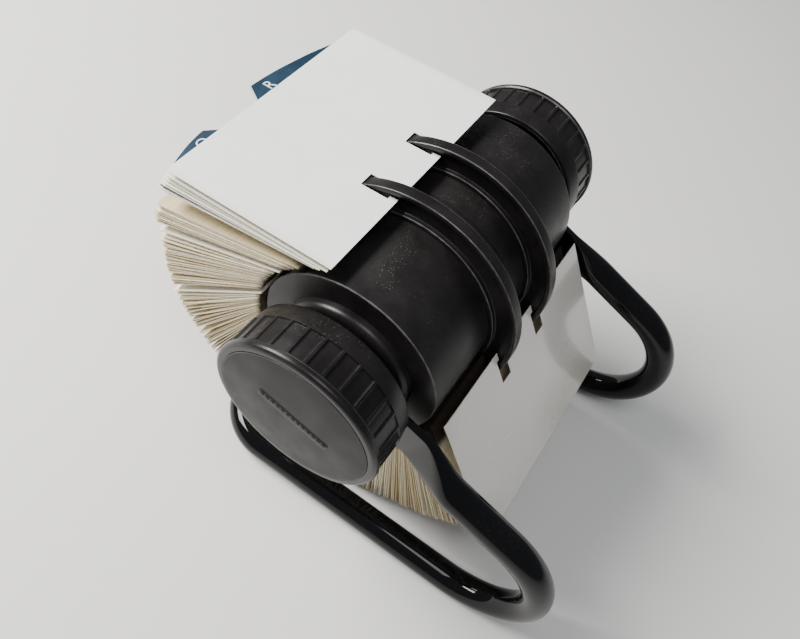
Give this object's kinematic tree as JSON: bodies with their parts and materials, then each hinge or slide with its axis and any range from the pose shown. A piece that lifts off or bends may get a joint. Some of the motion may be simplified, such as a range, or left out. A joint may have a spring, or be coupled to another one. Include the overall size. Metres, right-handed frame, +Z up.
{
  "type": "rotary card file",
  "caption": "Desk rotary card file: index cards and lettered guides hooked on a black drum that turns by two fluted knobs in a bent steel tube stand.",
  "frame": {"origin": "on the table, at the middle of the footprint's bounding box", "axes": "+Z up, +Y to the rear crossbar, +X along the drum's axle to the right knob"},
  "size_m": [0.1602, 0.1895, 0.1397],
  "materials": {
    "tube_enamel": "gloss black stove enamel on steel tube",
    "bush_nylon": "natural nylon",
    "drum_plastic": "satin black moulded plastic with fine dust",
    "rail_plastic": "satin black moulded plastic, worn bright along its edges",
    "knob_plastic": "satin black moulded plastic",
    "cap_plastic": "fine-grained matte black plastic",
    "bright_steel": "turned steel, zinc plated",
    "spring_steel": "spring steel",
    "card_stock": "cream index card, uneven edges",
    "guide_plastic": "dark blue glossy plastic sheet",
    "white_card": "off-white smooth card",
    "glossy_sleeve": "white card in a clear glossy sleeve"
  },
  "bodies": {
    "stand": {"base_tube": "tube_enamel", "bearing_bush_left": "bush_nylon", "bearing_bush_right": "bush_nylon"},
    "drum": {"drum_half_left": "drum_plastic", "drum_half_right": "drum_plastic", "card_rail_left": "rail_plastic", "card_rail_right": "rail_plastic", "end_collar_left": "drum_plastic", "end_collar_right": "drum_plastic", "friction_washer_left": "spring_steel", "friction_washer_right": "spring_steel", "knob_left": "knob_plastic", "knob_right": "knob_plastic", "knob_cap_left": "cap_plastic", "knob_cap_right": "cap_plastic", "knob_washer_left": "bright_steel", "knob_washer_right": "bright_steel", "knob_nut_left": "bright_steel", "knob_nut_right": "bright_steel", "drum_shaft": "bright_steel", "card_pack_top": "card_stock", "card_pack_rear": "card_stock", "card_pack_lower_rear": "card_stock", "card_pack_under": "card_stock", "card_pack_front": "card_stock", "index_guides": "guide_plastic", "filed_cards": "white_card", "guide_card_q": "guide_plastic", "guide_card_r": "guide_plastic"},
    "top_card": {"top_card": "white_card"},
    "front_card": {"front_card": "glossy_sleeve"}
  },
  "joints": [
    {"name": "drum_turn", "type": "hinge", "parent": "stand", "child": "drum", "pos_m": [0, 0.00954, 0.0952], "axis": [1, 0, 0], "continuous": true},
    {"name": "top_card_swing", "type": "hinge", "parent": "drum", "child": "top_card", "pos_m": [0, 0.02175, 0.13392], "axis": [1, 0, 0], "range_deg": [0, 150]},
    {"name": "front_card_swing", "type": "hinge", "parent": "drum", "child": "front_card", "pos_m": [0, -0.03083, 0.09096], "axis": [1, 0, 0], "range_deg": [-125, 0]}
  ]
}
